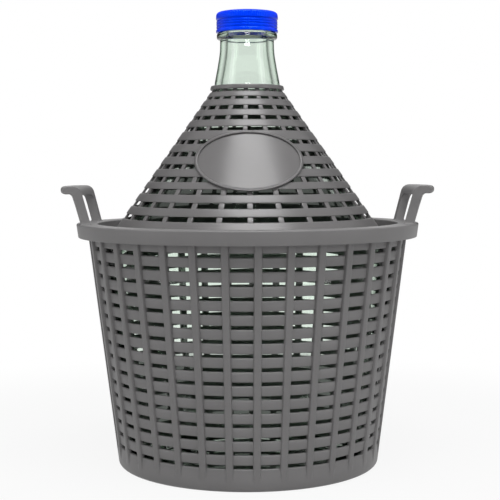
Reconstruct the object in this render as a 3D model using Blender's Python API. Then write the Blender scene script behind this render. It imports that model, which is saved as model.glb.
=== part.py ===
"""Fifteen litre glass demijohn in a slotted plastic basket, under a slotted cone, with a screw cap.

All lengths are in metres. The origin is the middle of the basket's foot, +Z is up, and the
plaque on the cone faces -Y. The basket drives the cone and the bottle, and the bottle's mouth
drives the closure.
"""
import math

import bmesh
import bpy
from mathutils import Vector

# Clearances between pieces
SEAT_GAP = 0.0003
COVER_CLEARANCE = 0.0015
BODY_CLEARANCE = 0.004
SHOULDER_CLEARANCE = 0.0012
COLLAR_CLEARANCE = 0.0012
STOPPER_CLEARANCE = 0.0003
CAP_CLEARANCE = 0.0006
LINER_CLEARANCE = 0.0004
CAP_LIP_GAP = 0.0005

# Basket wall: proud upright ribs outside, flat bands inside, slots between the bands
BASKET_HEIGHT = 0.2406
RIB_FOOT_RADIUS = 0.1302
RIB_TOP_RADIUS = 0.1599
RIB_COUNT = 33
RIB_PHASE = math.radians(3.55)
RIB_WIDTH = 0.0075
RIB_DEPTH = 0.0026
WALL_THICKNESS = 0.0026
SLOT_ROWS = 16
SLOT_HEIGHT = 0.0036
LOWEST_SLOT_LEVEL = 0.0238
HIGHEST_SLOT_DEPTH = 0.0227
RIB_END_LEVEL = 0.0075

# Basket foot
FOOT_FILLET_RADIUS = 0.0045
FOOT_RING_WIDTH = 0.012
FOOT_RECESS_DEPTH = 0.002
FLOOR_THICKNESS = 0.003

# Basket rim: a flat ledge with an apron outside and a seat for the cone inside
LEDGE_OVERHANG = 0.0106
LEDGE_LIP_WIDTH = 0.0052
LEDGE_THICKNESS = 0.0026
LEDGE_EDGE_RADIUS = 0.0016
APRON_DEPTH = 0.0137
APRON_DRAFT = 0.0023
APRON_THICKNESS = 0.0026
SEAT_DEPTH = 0.0182
SEAT_WIDTH = 0.003

# Basket handles, one at each end of X
HANDLE_RISE = 0.0369
HANDLE_INSET = 0.0129
HANDLE_THICKNESS = 0.0093
HANDLE_LEAN = 0.0102
HANDLE_LIP_REACH = 0.0171
HANDLE_LIP_THICKNESS = 0.0075
HANDLE_HALF_LENGTH = 0.046
HANDLE_LEG_WIDTH = 0.006
HANDLE_BAR_DEPTH = 0.0097
HANDLE_SHOULDER_RADIUS = 0.009
HANDLE_LIP_RADIUS = 0.0034
HANDLE_THROAT_RADIUS = 0.004
HANDLE_WINDOW_RADIUS = 0.006
HANDLE_ROOT_DEPTH = 0.0014
HANDLE_STEPS = 4

# Cone cover: proud level bands outside, upright ribs inside
COVER_HEIGHT = 0.1533
COVER_FLANGE_WIDTH = 0.0075
COVER_TOP_RADIUS = 0.0321
COVER_BAND_THICKNESS = 0.0018
COVER_RIB_DEPTH = 0.0016
COVER_FLANGE_THICKNESS = 0.0024
COVER_TURN = math.radians(1.3)
COVER_RIB_FADE = 0.0015
COVER_LOW_RIB_COUNT = 27
COVER_LOW_RIB_WIDTH = 0.0052
COVER_LOW_ROWS = 3
COVER_LOW_SLOT_HEIGHT = 0.0048
COVER_LOW_FIRST_LEVEL = 0.0251
COVER_LOW_PITCH = 0.0124
COVER_MIDDLE_RIB_COUNT = 28
COVER_MIDDLE_RIB_WIDTH = 0.0046
COVER_MIDDLE_ROWS = 4
COVER_MIDDLE_SLOT_HEIGHT = 0.0042
COVER_MIDDLE_FIRST_LEVEL = 0.0614
COVER_MIDDLE_PITCH = 0.0119
COVER_HIGH_RIB_COUNT = 20
COVER_HIGH_RIB_PHASE = math.radians(-1.7)
COVER_HIGH_RIB_WIDTH = 0.0042
COVER_HIGH_ROWS = 4
COVER_HIGH_SLOT_HEIGHT = 0.0038
COVER_HIGH_FIRST_LEVEL = 0.1098
COVER_HIGH_PITCH = 0.0107
COVER_HIGH_PITCH_SHARE = 0.94
COLLAR_HEIGHT = 0.006
COLLAR_THICKNESS = 0.0032
COLLAR_EDGE_RADIUS = 0.0014

# Oval plaque on the front of the cone, left bare
PLAQUE_HALF_WIDTH = 0.0518
PLAQUE_HALF_HEIGHT = 0.0282
PLAQUE_LEVEL = 0.0789
PLAQUE_FIELD_RISE = 0.0016
PLAQUE_BEAD_RISE = 0.0026
PLAQUE_BEAD_WIDTH = 0.0022
PLAQUE_ROOT_DEPTH = 0.0012
PLAQUE_POINTS = 24
PLAQUE_FIELD_STEPS = 3

# Glass bottle
GLASS_THICKNESS = 0.0035
BORE_RADIUS = 0.02
BORE_LENGTH = 0.04
BODY_HEEL_RADIUS = 0.034
BODY_SHOULDER_RADIUS = 0.055
BODY_STAND_WIDTH = 0.02
BODY_PUNT_HEIGHT = 0.009
NECK_ROOT_RADIUS = 0.0325
NECK_WAIST_RADIUS = 0.0288
NECK_TOP_RADIUS = 0.0263
NECK_ROOT_DEPTH = 0.0663
NECK_WAIST_DEPTH = 0.0488
NECK_ROOT_BEND_RADIUS = 0.012
NECK_WAIST_BEND_RADIUS = 0.06
MOUTH_LEVEL = 0.4448
FINISH_RADIUS = 0.027
FINISH_LENGTH = 0.017
FINISH_EDGE = 0.0008
BEAD_RADIUS = 0.03
BEAD_HEIGHT = 0.0064
BEAD_EDGE_RADIUS = 0.0022

# Inner stopper
STOPPER_FLANGE_THICKNESS = 0.0012
STOPPER_FLANGE_MARGIN = 0.0008
STOPPER_DEPTH = 0.0104
STOPPER_WALL = 0.0014
STOPPER_TAPER = 0.0008
STOPPER_NOSE_LENGTH = 0.0019

# Cap liner and screw cap
LINER_THICKNESS = 0.001
CAP_RADIUS = 0.0308
CAP_TOP_THICKNESS = 0.0018
CAP_DOME_HEIGHT = 0.0012
CAP_SHOULDER_RADIUS = 0.0058
CAP_GROOVE_DEPTH = 0.0009
CAP_GROOVE_WIDTH = 0.002
CAP_GROOVE_LEVEL_SHARES = (0.29, 0.57)

# Fineness of the round pieces
BOTTLE_SEGMENTS = 28
CAP_SEGMENTS = 24
CLOSURE_SEGMENTS = 20
CORNER_STEPS = 2
BEND_STEPS = 3
FILLET_STEPS = 2

FULL_TURN = 2 * math.pi


# Materials

def make_material(name, colour, roughness, transmission=0.0):
    """A plain plastic or glass finish; nothing on this object is metal."""
    material = bpy.data.materials.new(name)
    material.use_nodes = True
    shader = material.node_tree.nodes["Principled BSDF"]
    shader.inputs["Base Color"].default_value = (*colour, 1.0)
    shader.inputs["Roughness"].default_value = roughness
    shader.inputs["Metallic"].default_value = 0.0
    shader.inputs["Transmission Weight"].default_value = transmission
    material.diffuse_color = (*colour, 1.0)
    return material


def basket_plastic():
    return make_material("basket_plastic", (0.185, 0.18, 0.178), 0.45)


def cover_plastic():
    return make_material("cover_plastic", (0.2, 0.195, 0.192), 0.42)


def bottle_glass():
    return make_material("bottle_glass", (0.78, 0.9, 0.83), 0.03, 1.0)


def stopper_plastic():
    return make_material("stopper_plastic", (0.82, 0.82, 0.78), 0.4)


def liner_foam():
    return make_material("liner_foam", (0.88, 0.88, 0.86), 0.8)


def cap_plastic():
    return make_material("cap_plastic", (0.004, 0.075, 0.72), 0.28)


# Outlines, as (radius, level) points

def rounded(corners, steps):
    """Turn (radius, level, fillet) corners into points, with an arc at each filleted corner."""
    points = []
    for index, (radius, level, fillet) in enumerate(corners):
        corner = Vector((radius, level))
        if not fillet or index in (0, len(corners) - 1):
            points.append(corner)
            continue
        back = (Vector(corners[index - 1][:2]) - corner)
        ahead = (Vector(corners[index + 1][:2]) - corner)
        half = back.angle(ahead) / 2
        reach = min(fillet / math.tan(half), back.length / 2, ahead.length / 2)
        arc_radius = reach * math.tan(half)
        back.normalize()
        ahead.normalize()
        centre = corner + (back + ahead).normalized() * (arc_radius / math.sin(half))
        start = corner + back * reach - centre
        sweep = start.angle_signed(corner + ahead * reach - centre)
        for step in range(steps + 1):
            turn = -sweep * step / steps
            points.append(centre + Vector((
                start.x * math.cos(turn) - start.y * math.sin(turn),
                start.x * math.sin(turn) + start.y * math.cos(turn))))
    return points


def offset(points, distance):
    """Move each point of an outline to its left, square to the line, by the distance."""
    moved = []
    for index, point in enumerate(points):
        back = point - points[max(index - 1, 0)]
        ahead = points[min(index + 1, len(points) - 1)] - point
        run = (back.normalized() + ahead.normalized()).normalized()
        moved.append(point + Vector((-run.y, run.x)) * distance)
    return moved


def straight(radius_low, level_low, radius_high, level_high):
    """The radius of a straight tapered wall as a function of its level."""
    slope = (radius_high - radius_low) / (level_high - level_low)
    return lambda level: radius_low + slope * (level - level_low)


# Rings of vertices, from which the round walls are woven

class Ring:
    """One level of a round wall: its vertices in order, and the angle of each from the front."""

    def __init__(self, bm, radius, level, angles):
        self.angles = angles
        self.verts = [
            bm.verts.new((radius * math.sin(angle), -radius * math.cos(angle), level))
            for angle in angles
        ]

    def __len__(self):
        return len(self.verts)


def rib_centres(count, phase):
    return [phase + FULL_TURN * index / count for index in range(count)]


def rib_edges(count, phase, half_angle):
    """Both edges of each rib, so that even sectors are ribs and odd ones are bays."""
    angles = []
    for centre in rib_centres(count, phase):
        angles += [centre - half_angle, centre + half_angle]
    return angles


def join(bm, low, high, sectors=(0, 1)):
    """Fill the sectors between two rings of equal count: 0 takes the ribs, 1 the bays."""
    count = len(low)
    for index in range(count):
        if index % 2 in sectors:
            after = (index + 1) % count
            bm.faces.new((low.verts[index], low.verts[after], high.verts[after], high.verts[index]))


def stitch(bm, first, second):
    """Fill the strip between two rings of any counts with triangles, in order of angle."""
    near = 0
    far = 0
    while near < len(first) or far < len(second):
        next_near = first.angles[near + 1] if near + 1 < len(first) else first.angles[0] + FULL_TURN
        next_far = second.angles[far + 1] if far + 1 < len(second) else second.angles[0] + FULL_TURN
        here = first.verts[near % len(first)]
        there = second.verts[far % len(second)]
        if far >= len(second) or (near < len(first) and next_near <= next_far):
            bm.faces.new((here, there, first.verts[(near + 1) % len(first)]))
            near += 1
        else:
            bm.faces.new((here, there, second.verts[(far + 1) % len(second)]))
            far += 1


def chain(bm, start, outline, angles):
    """Run a wall on from a ring through the outline's points, and return the last ring."""
    ring = start
    for radius, level in outline:
        following = Ring(bm, radius, level, angles)
        if following.angles == ring.angles:
            join(bm, ring, following)
        else:
            stitch(bm, ring, following)
        ring = following
    return ring


class Lattice:
    """A woven wall: level bands on one side of a contact line and upright ribs on the other.

    The slots run behind the ribs, so that a band is one unbroken hoop and a rib one unbroken
    bar. Each rib dies out into the wall at a faded end, and runs into a ledge at a square one.
    """

    def __init__(self, bm, count, phase, half_angle, contact, band_far, rib_far, slots, ends, faded):
        edges = rib_edges(count, phase, half_angle)
        centres = rib_centres(count, phase)
        low_end, high_end = ends
        levels = [low_end] + [level for slot in slots for level in slot] + [high_end]
        contacts = []
        for index, level in enumerate(levels):
            at_faded_end = index in (0, len(levels) - 1) and faded[0 if index == 0 else 1]
            line = rib_far if at_faded_end else contact
            contacts.append(Ring(bm, line(level), level, edges))
        for index in range(len(levels) - 1):
            behind_ribs = index % 2
            join(bm, contacts[index], contacts[index + 1], sectors=(0,) if behind_ribs else (1,))
        far_rings = [Ring(bm, band_far(level), level, centres) for level in levels[1:-1]]
        for ring, contact_ring in zip(far_rings, contacts[1:-1]):
            stitch(bm, contact_ring, ring)
        for lower, upper in zip(far_rings[1:-1:2], far_rings[2::2]):
            join(bm, lower, upper)
        self.rib_low = contacts[0] if faded[0] else Ring(bm, rib_far(low_end), low_end, edges)
        self.rib_high = contacts[-1] if faded[1] else Ring(bm, rib_far(high_end), high_end, edges)
        join(bm, self.rib_low, self.rib_high, sectors=(0,))
        self.close_rib_sides(bm, contacts)
        self.contact_low = contacts[0]
        self.contact_high = contacts[-1]
        self.band_low = far_rings[0]
        self.band_high = far_rings[-1]

    def close_rib_sides(self, bm, contacts):
        """Fan each rib's side from the rib's two far corners to its edge on the wall."""
        middle = len(contacts) // 2
        for index in range(len(contacts[0])):
            low = self.rib_low.verts[index]
            high = self.rib_high.verts[index]
            edge = [ring.verts[index] for ring in contacts]
            for step in range(len(edge) - 1):
                corner = low if step < middle else high
                if corner not in (edge[step], edge[step + 1]):
                    bm.faces.new((corner, edge[step], edge[step + 1]))
            bm.faces.new((low, edge[middle], high))


# Objects

def finish_mesh(name, bm, material, smooth_angle=math.radians(35)):
    """Close the mesh's making: outward faces, smooth shading and the piece's material."""
    bmesh.ops.recalc_face_normals(bm, faces=bm.faces)
    mesh = bpy.data.meshes.new(name)
    bm.to_mesh(mesh)
    bm.free()
    mesh.shade_smooth()
    mesh.set_sharp_from_angle(angle=smooth_angle)
    if material:
        mesh.materials.append(material)
    piece = bpy.data.objects.new(name, mesh)
    bpy.context.scene.collection.objects.link(piece)
    return piece


def as_guide(piece):
    """Mark a solid that only shapes another one."""
    piece.hide_render = True
    piece.display_type = "WIRE"
    return piece


def combine(piece, other, operation):
    """Add or cut another solid, by a live Boolean modifier."""
    modifier = piece.modifiers.new(operation.lower() + "_" + other.name, "BOOLEAN")
    modifier.operation = operation
    modifier.solver = "EXACT"
    modifier.object = other


def turned(name, outline, segments, material):
    """Revolve an outline round the Z axis into a closed body."""
    bm = bmesh.new()
    verts = [bm.verts.new((radius, 0, level)) for radius, level in outline]
    edges = [bm.edges.new(pair) for pair in zip(verts, verts[1:])]
    if outline[0][0] or outline[-1][0]:
        edges.append(bm.edges.new((verts[-1], verts[0])))
    bmesh.ops.spin(
        bm, geom=verts + edges, cent=(0, 0, 0), axis=(0, 0, 1),
        angle=FULL_TURN, steps=segments, use_merge=True)
    bmesh.ops.remove_doubles(bm, verts=bm.verts, dist=min(SEAT_GAP, STOPPER_CLEARANCE) / 10)
    return finish_mesh(name, bm, material)


# Basket

def rib_line():
    """The radius of the ribs' outer faces at a level."""
    return straight(RIB_FOOT_RADIUS, 0, RIB_TOP_RADIUS, BASKET_HEIGHT)


def wall_outer(level):
    return rib_line()(level) - RIB_DEPTH


def wall_inner(level):
    return wall_outer(level) - WALL_THICKNESS


def ledge_inner_radius():
    return wall_inner(BASKET_HEIGHT) - LEDGE_LIP_WIDTH


def seat_level():
    return BASKET_HEIGHT - SEAT_DEPTH


def seat_inner_radius():
    return ledge_inner_radius() - SEAT_WIDTH


def slot_rows(first_level, pitch, pitch_share, rows, height):
    """The lower and upper edge of each row, with each pitch a share of the one below it."""
    slots = []
    middle = first_level
    for _ in range(rows):
        slots.append((middle - height / 2, middle + height / 2))
        middle += pitch
        pitch *= pitch_share
    return slots


def basket_slots():
    highest_level = BASKET_HEIGHT - HIGHEST_SLOT_DEPTH
    pitch = (highest_level - LOWEST_SLOT_LEVEL) / (SLOT_ROWS - 1)
    return slot_rows(LOWEST_SLOT_LEVEL, pitch, 1, SLOT_ROWS, SLOT_HEIGHT)


def rim_outline():
    """From the ledge's underside round the apron and over the ledge to its inner edge."""
    outer = RIB_TOP_RADIUS + LEDGE_OVERHANG
    foot = outer - APRON_DRAFT
    underside = BASKET_HEIGHT - LEDGE_THICKNESS
    lowest = BASKET_HEIGHT - APRON_DEPTH
    corners = [
        (outer - APRON_THICKNESS, underside, 0),
        (foot - APRON_THICKNESS, lowest, 0),
        (foot, lowest, 0),
        (outer, BASKET_HEIGHT, LEDGE_EDGE_RADIUS),
        (ledge_inner_radius(), BASKET_HEIGHT, 0),
    ]
    return [tuple(point) for point in rounded(corners, FILLET_STEPS)]


def foot_outline():
    """From the end of the ribs round the foot fillet to the recess under the floor."""
    outer = rib_line()
    ring_inner = RIB_FOOT_RADIUS - FOOT_FILLET_RADIUS - FOOT_RING_WIDTH
    corners = [
        (outer(RIB_END_LEVEL), RIB_END_LEVEL, 0),
        (outer(0), 0, FOOT_FILLET_RADIUS),
        (ring_inner, 0, 0),
        (ring_inner - FOOT_RECESS_DEPTH, FOOT_RECESS_DEPTH, 0),
    ]
    return [tuple(point) for point in rounded(corners, FILLET_STEPS)][1:]


def build_basket():
    """Weave the wall, run it on into foot and rim, and grow the handles out of the ledge."""
    bm = bmesh.new()
    half_angle = math.asin(RIB_WIDTH / 2 / RIB_TOP_RADIUS)
    underside = BASKET_HEIGHT - LEDGE_THICKNESS
    wall = Lattice(
        bm, RIB_COUNT, RIB_PHASE, half_angle, wall_outer, wall_inner, rib_line(), basket_slots(),
        ends=(RIB_END_LEVEL, underside), faded=(True, False))
    centres = wall.band_low.angles

    under_floor = chain(bm, wall.contact_low, foot_outline(), centres)
    bm.faces.new(under_floor.verts)
    floor_level = FOOT_RECESS_DEPTH + FLOOR_THICKNESS
    floor = chain(bm, wall.band_low, [(wall_inner(floor_level), floor_level)], centres)
    bm.faces.new(floor.verts)

    join(bm, wall.contact_high, wall.rib_high, sectors=(1,))
    lip = [
        (ledge_inner_radius(), seat_level()),
        (seat_inner_radius(), seat_level()),
    ]
    seat = chain(bm, wall.rib_high, rim_outline() + lip, centres)
    join(bm, seat, wall.band_high)

    basket = finish_mesh("basket", bm, basket_plastic())
    combine(basket, build_handles(), "UNION")
    return basket


# Handles

def handle_section():
    """The handle seen from its end: a leaning leg with a lip turned outwards at the top."""
    inner_foot = RIB_TOP_RADIUS + LEDGE_OVERHANG - HANDLE_INSET
    top = BASKET_HEIGHT + HANDLE_RISE
    root = BASKET_HEIGHT - HANDLE_ROOT_DEPTH
    inner = straight(inner_foot, BASKET_HEIGHT, inner_foot + HANDLE_LEAN, top)
    lip_end = inner(top) + HANDLE_LIP_REACH
    lip_under = top - HANDLE_LIP_THICKNESS
    corners = [
        (inner(root), root, 0),
        (inner(top), top, HANDLE_SHOULDER_RADIUS),
        (lip_end, top, HANDLE_LIP_RADIUS),
        (lip_end, lip_under, HANDLE_LIP_RADIUS),
        (inner(lip_under) + HANDLE_THICKNESS, lip_under, HANDLE_THROAT_RADIUS),
        (inner(root) + HANDLE_THICKNESS, root, 0),
    ]
    return rounded(corners, CORNER_STEPS)


def swept(bm, sections, angles):
    """Close a body through one section for each angle, all with the same count of points."""
    loops = []
    for section, angle in zip(sections, angles):
        loops.append([
            bm.verts.new((radius * math.cos(angle), radius * math.sin(angle), level))
            for radius, level in section
        ])
    for first, second in zip(loops, loops[1:]):
        for index in range(len(first)):
            after = (index + 1) % len(first)
            bm.faces.new((first[index], first[after], second[after], second[index]))
    bm.faces.new(loops[0])
    bm.faces.new(loops[-1])


def window_sections(section, half_angle):
    """The finger gap: its top drops in a small fillet towards both legs."""
    reach = HANDLE_THICKNESS + HANDLE_LEAN
    inner = min(radius for radius, level in section) - reach
    outer = max(radius for radius, level in section) + reach
    bottom = BASKET_HEIGHT - HANDLE_RISE
    top = BASKET_HEIGHT + HANDLE_RISE - HANDLE_BAR_DEPTH
    middle_radius = RIB_TOP_RADIUS + LEDGE_OVERHANG
    fillet_angle = HANDLE_WINDOW_RADIUS / middle_radius
    angles = []
    sections = []
    for step in range(CORNER_STEPS + 1):
        turn = math.pi / 2 * step / CORNER_STEPS
        angles.append(half_angle - fillet_angle * (1 - math.sin(turn)))
        drop = HANDLE_WINDOW_RADIUS * (1 - math.cos(turn))
        sections.append([(inner, bottom), (outer, bottom), (outer, top - drop), (inner, top - drop)])
    angles = [-angle for angle in reversed(angles)] + angles
    sections = list(reversed(sections)) + sections
    return sections, angles


def build_handles():
    """Two loops standing on the ledge, as one guide that the basket takes in."""
    section = handle_section()
    middle_radius = RIB_TOP_RADIUS + LEDGE_OVERHANG
    half_angle = math.asin(HANDLE_HALF_LENGTH / middle_radius)
    window_half_angle = math.asin((HANDLE_HALF_LENGTH - HANDLE_LEG_WIDTH) / middle_radius)
    windows, window_angles = window_sections(section, window_half_angle)
    steps = [half_angle * (2 * step / HANDLE_STEPS - 1) for step in range(HANDLE_STEPS + 1)]
    loops = bmesh.new()
    gaps = bmesh.new()
    for side in (0, math.pi):
        swept(loops, [section] * len(steps), [side + angle for angle in steps])
        swept(gaps, windows, [side + angle for angle in window_angles])
    handles = as_guide(finish_mesh("handle_loops", loops, None))
    combine(handles, as_guide(finish_mesh("handle_gaps", gaps, None)), "DIFFERENCE")
    return handles


# Cone cover

def cover_base_level():
    return seat_level() + SEAT_GAP


def flange_radius():
    return ledge_inner_radius() - COVER_CLEARANCE


def cone_outer(level):
    """The radius of the bands' outer faces at a level."""
    base = cover_base_level()
    base_radius = flange_radius() - COVER_FLANGE_WIDTH
    return straight(base_radius, base, COVER_TOP_RADIUS, base + COVER_HEIGHT)(level)


def cone_contact(level):
    return cone_outer(level) - COVER_BAND_THICKNESS


def cone_inner(level):
    return cone_contact(level) - COVER_RIB_DEPTH


def collar_inner_radius():
    return NECK_ROOT_RADIUS + COLLAR_CLEARANCE


def cover_zone(bm, count, phase, rib_width, slots):
    """Weave one zone of the cone: its bands, and the ribs behind them, closed at both ends."""
    middle_radius = cone_outer((slots[0][0] + slots[-1][1]) / 2)
    zone = Lattice(
        bm, count, phase, math.asin(rib_width / 2 / middle_radius),
        cone_contact, cone_outer, cone_inner, slots,
        ends=(slots[0][0] - COVER_RIB_FADE, slots[-1][1] + COVER_RIB_FADE), faded=(False, False))
    join(bm, zone.contact_low, zone.rib_low, sectors=(0,))
    join(bm, zone.contact_high, zone.rib_high, sectors=(0,))
    return zone


def build_cover():
    """Weave the cone in three zones of ribs, with a flange below and a collar above."""
    bm = bmesh.new()
    base = cover_base_level()
    half_pitch = math.pi / COVER_MIDDLE_RIB_COUNT
    low = cover_zone(bm, COVER_LOW_RIB_COUNT, COVER_TURN, COVER_LOW_RIB_WIDTH, slot_rows(
        base + COVER_LOW_FIRST_LEVEL, COVER_LOW_PITCH, 1,
        COVER_LOW_ROWS, COVER_LOW_SLOT_HEIGHT))
    middle = cover_zone(
        bm, COVER_MIDDLE_RIB_COUNT, COVER_TURN + half_pitch, COVER_MIDDLE_RIB_WIDTH, slot_rows(
            base + COVER_MIDDLE_FIRST_LEVEL, COVER_MIDDLE_PITCH, 1,
            COVER_MIDDLE_ROWS, COVER_MIDDLE_SLOT_HEIGHT))
    high = cover_zone(bm, COVER_HIGH_RIB_COUNT, COVER_HIGH_RIB_PHASE, COVER_HIGH_RIB_WIDTH, slot_rows(
        base + COVER_HIGH_FIRST_LEVEL, COVER_HIGH_PITCH, COVER_HIGH_PITCH_SHARE,
        COVER_HIGH_ROWS, COVER_HIGH_SLOT_HEIGHT))
    for below, above in ((low, middle), (middle, high)):
        stitch(bm, below.contact_high, above.contact_low)
        stitch(bm, below.band_high, above.band_low)

    flange_top = base + COVER_FLANGE_THICKNESS
    flange = [
        (cone_outer(flange_top), flange_top),
        (flange_radius(), flange_top),
        (flange_radius(), base),
        (cone_contact(base), base),
    ]
    foot = chain(bm, low.band_low, flange, low.band_low.angles)
    stitch(bm, low.contact_low, foot)

    top = base + COVER_HEIGHT
    collar_outer = collar_inner_radius() + COLLAR_THICKNESS
    collar_foot = top - COLLAR_HEIGHT
    hole_foot = meeting_level(lambda level: collar_inner_radius(), cone_inner)
    collar_corners = [
        (cone_outer(collar_foot), collar_foot, 0),
        (collar_outer, collar_foot, 0),
        (collar_outer, top, COLLAR_EDGE_RADIUS),
        (collar_inner_radius(), top, 0),
        (collar_inner_radius(), hole_foot, 0),
    ]
    collar = [tuple(point) for point in rounded(collar_corners, FILLET_STEPS)]
    mouth = chain(bm, high.band_high, collar, high.band_high.angles)
    stitch(bm, high.contact_high, mouth)

    cover = finish_mesh("cone_cover", bm, cover_plastic())
    combine(cover, build_plaque(), "UNION")
    return cover


def build_plaque():
    """A bare oval shield that follows the cone, with a bead round its edge."""
    bm = bmesh.new()
    middle = cover_base_level() + PLAQUE_LEVEL
    bead_share = 1 - PLAQUE_BEAD_WIDTH / PLAQUE_HALF_HEIGHT

    def oval(share, rise):
        loop = []
        for index in range(PLAQUE_POINTS):
            turn = FULL_TURN * (index + 1 / 2) / PLAQUE_POINTS
            level = middle + PLAQUE_HALF_HEIGHT * share * math.sin(turn)
            radius = cone_outer(level) + rise
            across = math.asin(PLAQUE_HALF_WIDTH * share * math.cos(turn) / radius) + COVER_TURN
            loop.append(bm.verts.new((radius * math.sin(across), -radius * math.cos(across), level)))
        return loop

    field = [
        (bead_share * step / PLAQUE_FIELD_STEPS, PLAQUE_FIELD_RISE)
        for step in range(1, PLAQUE_FIELD_STEPS + 1)
    ]
    bead = [((1 + bead_share) / 2, PLAQUE_BEAD_RISE), (1, PLAQUE_FIELD_RISE), (1, -PLAQUE_ROOT_DEPTH)]
    back = [(share, -PLAQUE_ROOT_DEPTH) for share, rise in reversed(field)]
    loops = [oval(share, rise) for share, rise in field + bead + back]
    for first, second in zip(loops, loops[1:]):
        for index in range(PLAQUE_POINTS):
            after = (index + 1) % PLAQUE_POINTS
            bm.faces.new((first[index], first[after], second[after], second[index]))
    for loop, rise in ((loops[0], PLAQUE_FIELD_RISE), (loops[-1], -PLAQUE_ROOT_DEPTH)):
        radius = cone_outer(middle) + rise
        centre = bm.verts.new((radius * math.sin(COVER_TURN), -radius * math.cos(COVER_TURN), middle))
        for index in range(PLAQUE_POINTS):
            bm.faces.new((loop[index], loop[(index + 1) % PLAQUE_POINTS], centre))
    return as_guide(finish_mesh("plaque", bm, None))


# Bottle

def glass_cone(level):
    """The radius of the glass shoulder, just inside the ribs of the cone cover."""
    return cone_inner(level) - SHOULDER_CLEARANCE


def meeting_level(first, second):
    """The level where two straight tapered walls have the same radius."""
    gap_low = first(0) - second(0)
    gap_high = first(MOUTH_LEVEL) - second(MOUTH_LEVEL)
    return MOUTH_LEVEL * gap_low / (gap_low - gap_high)


def body_outline():
    """The glass from the middle of the bottom up to the waist of the neck."""
    stand_level = FOOT_RECESS_DEPTH + FLOOR_THICKNESS + SEAT_GAP

    def side(level):
        return wall_inner(level) - BODY_CLEARANCE

    shoulder_level = meeting_level(side, glass_cone)
    root_level = meeting_level(lambda level: NECK_ROOT_RADIUS, glass_cone)
    heel_start = side(stand_level) - BODY_HEEL_RADIUS
    corners = [
        (0, stand_level + BODY_PUNT_HEIGHT, 0),
        (heel_start - BODY_STAND_WIDTH, stand_level + BODY_PUNT_HEIGHT / 2, 0),
        (heel_start, stand_level, 0),
        (side(stand_level), stand_level, BODY_HEEL_RADIUS),
        (side(shoulder_level), shoulder_level, BODY_SHOULDER_RADIUS),
        (NECK_ROOT_RADIUS, root_level, NECK_ROOT_BEND_RADIUS),
        (NECK_ROOT_RADIUS, MOUTH_LEVEL - NECK_ROOT_DEPTH, 0),
        (NECK_WAIST_RADIUS, MOUTH_LEVEL - NECK_WAIST_DEPTH, 0),
    ]
    return rounded(corners, BEND_STEPS)


def finish_outline():
    """The top of the neck: the bead, the plain finish under the cap, and the bore."""
    bead_top = MOUTH_LEVEL - FINISH_LENGTH
    bead_foot = bead_top - BEAD_HEIGHT
    corners = [
        (NECK_TOP_RADIUS, bead_foot, 0),
        (BEAD_RADIUS, bead_foot, BEAD_EDGE_RADIUS),
        (BEAD_RADIUS, bead_top, BEAD_EDGE_RADIUS),
        (FINISH_RADIUS, bead_top, 0),
        (FINISH_RADIUS, MOUTH_LEVEL - FINISH_EDGE, 0),
        (FINISH_RADIUS - FINISH_EDGE, MOUTH_LEVEL, 0),
        (BORE_RADIUS + FINISH_EDGE, MOUTH_LEVEL, 0),
        (BORE_RADIUS, MOUTH_LEVEL - FINISH_EDGE, 0),
        (BORE_RADIUS, MOUTH_LEVEL - BORE_LENGTH, 0),
    ]
    return rounded(corners, CORNER_STEPS)


def build_bottle():
    """Turn the glass: its outside, the finish, and an inside one wall thickness in."""
    outside = body_outline()
    inside = offset(outside, GLASS_THICKNESS)
    inside[0].x = 0
    outline = outside + finish_outline() + list(reversed(inside))
    return turned("glass_bottle", [tuple(point) for point in outline], BOTTLE_SEGMENTS, bottle_glass())


# Closure

def flange_level():
    return MOUTH_LEVEL + SEAT_GAP


def liner_level():
    return flange_level() + STOPPER_FLANGE_THICKNESS + SEAT_GAP


def cap_ceiling_level():
    return liner_level() + LINER_THICKNESS + SEAT_GAP


def build_stopper():
    """A cup that plugs the bore, hung from a flange on the mouth."""
    plug = BORE_RADIUS - STOPPER_CLEARANCE
    rim = FINISH_RADIUS - STOPPER_FLANGE_MARGIN
    low = flange_level()
    high = low + STOPPER_FLANGE_THICKNESS
    nose = low - STOPPER_DEPTH
    outline = [
        (0, nose),
        (plug - STOPPER_TAPER, nose),
        (plug, nose + STOPPER_NOSE_LENGTH),
        (plug, low),
        (rim, low),
        (rim, high),
        (plug - STOPPER_WALL, high),
        (plug - STOPPER_WALL - STOPPER_TAPER, nose + STOPPER_WALL),
        (0, nose + STOPPER_WALL),
    ]
    return turned("inner_stopper", outline, CLOSURE_SEGMENTS, stopper_plastic())


def cap_inner_radius():
    return FINISH_RADIUS + CAP_CLEARANCE


def build_liner():
    """A foam disc that presses on the stopper's flange."""
    radius = cap_inner_radius() - LINER_CLEARANCE
    low = liner_level()
    high = low + LINER_THICKNESS
    return turned("cap_liner", [(0, low), (radius, low), (radius, high), (0, high)],
                  CLOSURE_SEGMENTS, liner_foam())


def build_cap():
    """A skirt down to the bead, with turned grooves, a rounded shoulder and a slightly domed top."""
    lip = MOUTH_LEVEL - FINISH_LENGTH + CAP_LIP_GAP
    ceiling = cap_ceiling_level()
    crown = ceiling + CAP_TOP_THICKNESS
    height = crown - lip
    edge = CAP_GROOVE_WIDTH / 2
    corners = [(0, ceiling, 0), (cap_inner_radius(), ceiling, 0), (cap_inner_radius(), lip, 0),
               (CAP_RADIUS, lip, 0)]
    for share in CAP_GROOVE_LEVEL_SHARES:
        middle = lip + height * share
        corners += [
            (CAP_RADIUS, middle - edge, 0),
            (CAP_RADIUS - CAP_GROOVE_DEPTH, middle, 0),
            (CAP_RADIUS, middle + edge, 0),
        ]
    corners += [(CAP_RADIUS, crown - CAP_DOME_HEIGHT, CAP_SHOULDER_RADIUS), (0, crown, 0)]
    outline = [tuple(point) for point in rounded(corners, BEND_STEPS)]
    return turned("screw_cap", outline, CAP_SEGMENTS, cap_plastic())


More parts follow.
